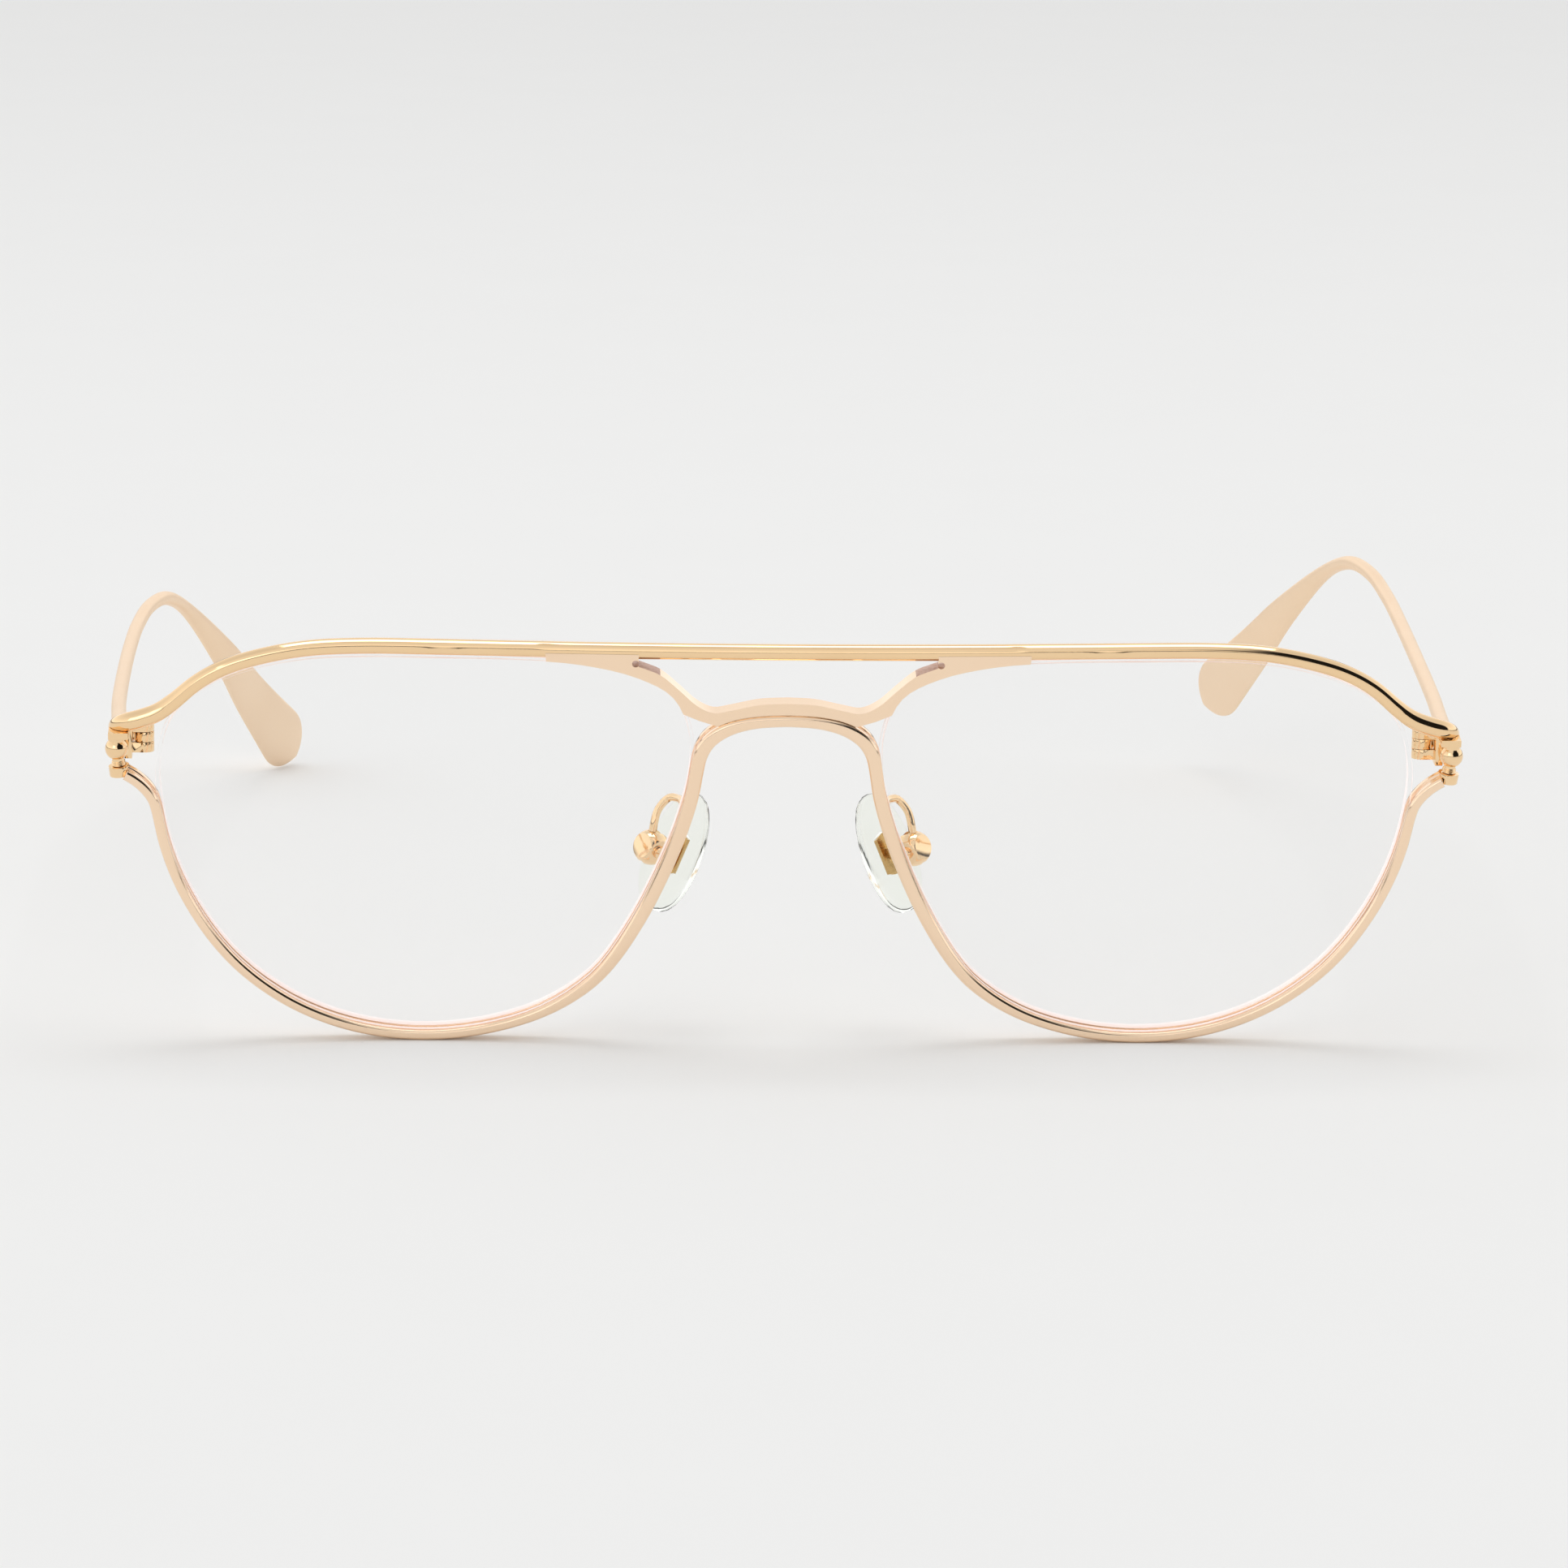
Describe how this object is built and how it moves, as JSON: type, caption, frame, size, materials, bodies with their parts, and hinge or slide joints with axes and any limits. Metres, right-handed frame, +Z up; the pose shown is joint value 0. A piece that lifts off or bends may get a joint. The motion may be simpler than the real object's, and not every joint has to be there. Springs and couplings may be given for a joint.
{
  "type": "wire eyeglasses",
  "caption": "Pale gold double-bridge wire eyeglasses with clear lenses, a cut bridge plate, barrel hinges with ball nuts, silicone nose pads and wire temples with flat tips.",
  "frame": {"origin": "on the table, under the middle of the bounding box", "axes": "+Z up; the front faces -Y and the temples run towards +Y; +X is the wearer's left side"},
  "size_m": [0.1436, 0.1404, 0.0432],
  "materials": {
    "frame": "polished pale rose gold",
    "temple": "softly polished pale rose gold",
    "insert": "dark gold, seen through silicone",
    "lens": "clear, with ground edges",
    "pad": "clear silicone"
  },
  "bodies": {
    "front_frame": {"brow_bar": "frame", "bridge_plate": "frame", "lower_bridge": "frame", "rim_left": "frame", "rim_right": "frame", "lens_left": "lens", "lens_right": "lens", "rim_lug_left": "frame", "rim_lug_right": "frame", "closing_screw_left": "frame", "closing_screw_right": "frame", "ball_nut_left": "frame", "ball_nut_right": "frame", "endpiece_left": "frame", "endpiece_right": "frame", "hinge_screw_left": "frame", "hinge_screw_right": "frame", "pad_arm_left": "frame", "pad_arm_right": "frame", "pad_box_left": "frame", "pad_box_right": "frame", "pad_screw_left": "frame", "pad_screw_right": "frame"},
    "temple_left": {"temple_left": "temple", "temple_hinge_left": "frame"},
    "temple_right": {"temple_right": "temple", "temple_hinge_right": "frame"},
    "nose_pad_left": {"nose_pad_left": "pad", "pad_insert_left": "insert"},
    "nose_pad_right": {"nose_pad_right": "pad", "pad_insert_right": "insert"}
  },
  "joints": [
    {"name": "temple_left_fold", "type": "hinge", "parent": "front_frame", "child": "temple_left", "pos_m": [-0.0651, -0.0636, 0.0318], "axis": [0, 0, -1], "range_deg": [0, 80]},
    {"name": "temple_right_fold", "type": "hinge", "parent": "front_frame", "child": "temple_right", "pos_m": [0.0651, -0.0636, 0.0318], "axis": [0, 0, 1], "range_deg": [0, 80]},
    {"name": "nose_pad_left_rock", "type": "hinge", "parent": "front_frame", "child": "nose_pad_left", "pos_m": [-0.01349, -0.06015, 0.0196], "axis": [0.596, -0.766, -0.2408], "range_deg": [-8, 8]},
    {"name": "nose_pad_right_rock", "type": "hinge", "parent": "front_frame", "child": "nose_pad_right", "pos_m": [0.01349, -0.06015, 0.0196], "axis": [0.596, 0.766, 0.2408], "range_deg": [-8, 8]}
  ]
}
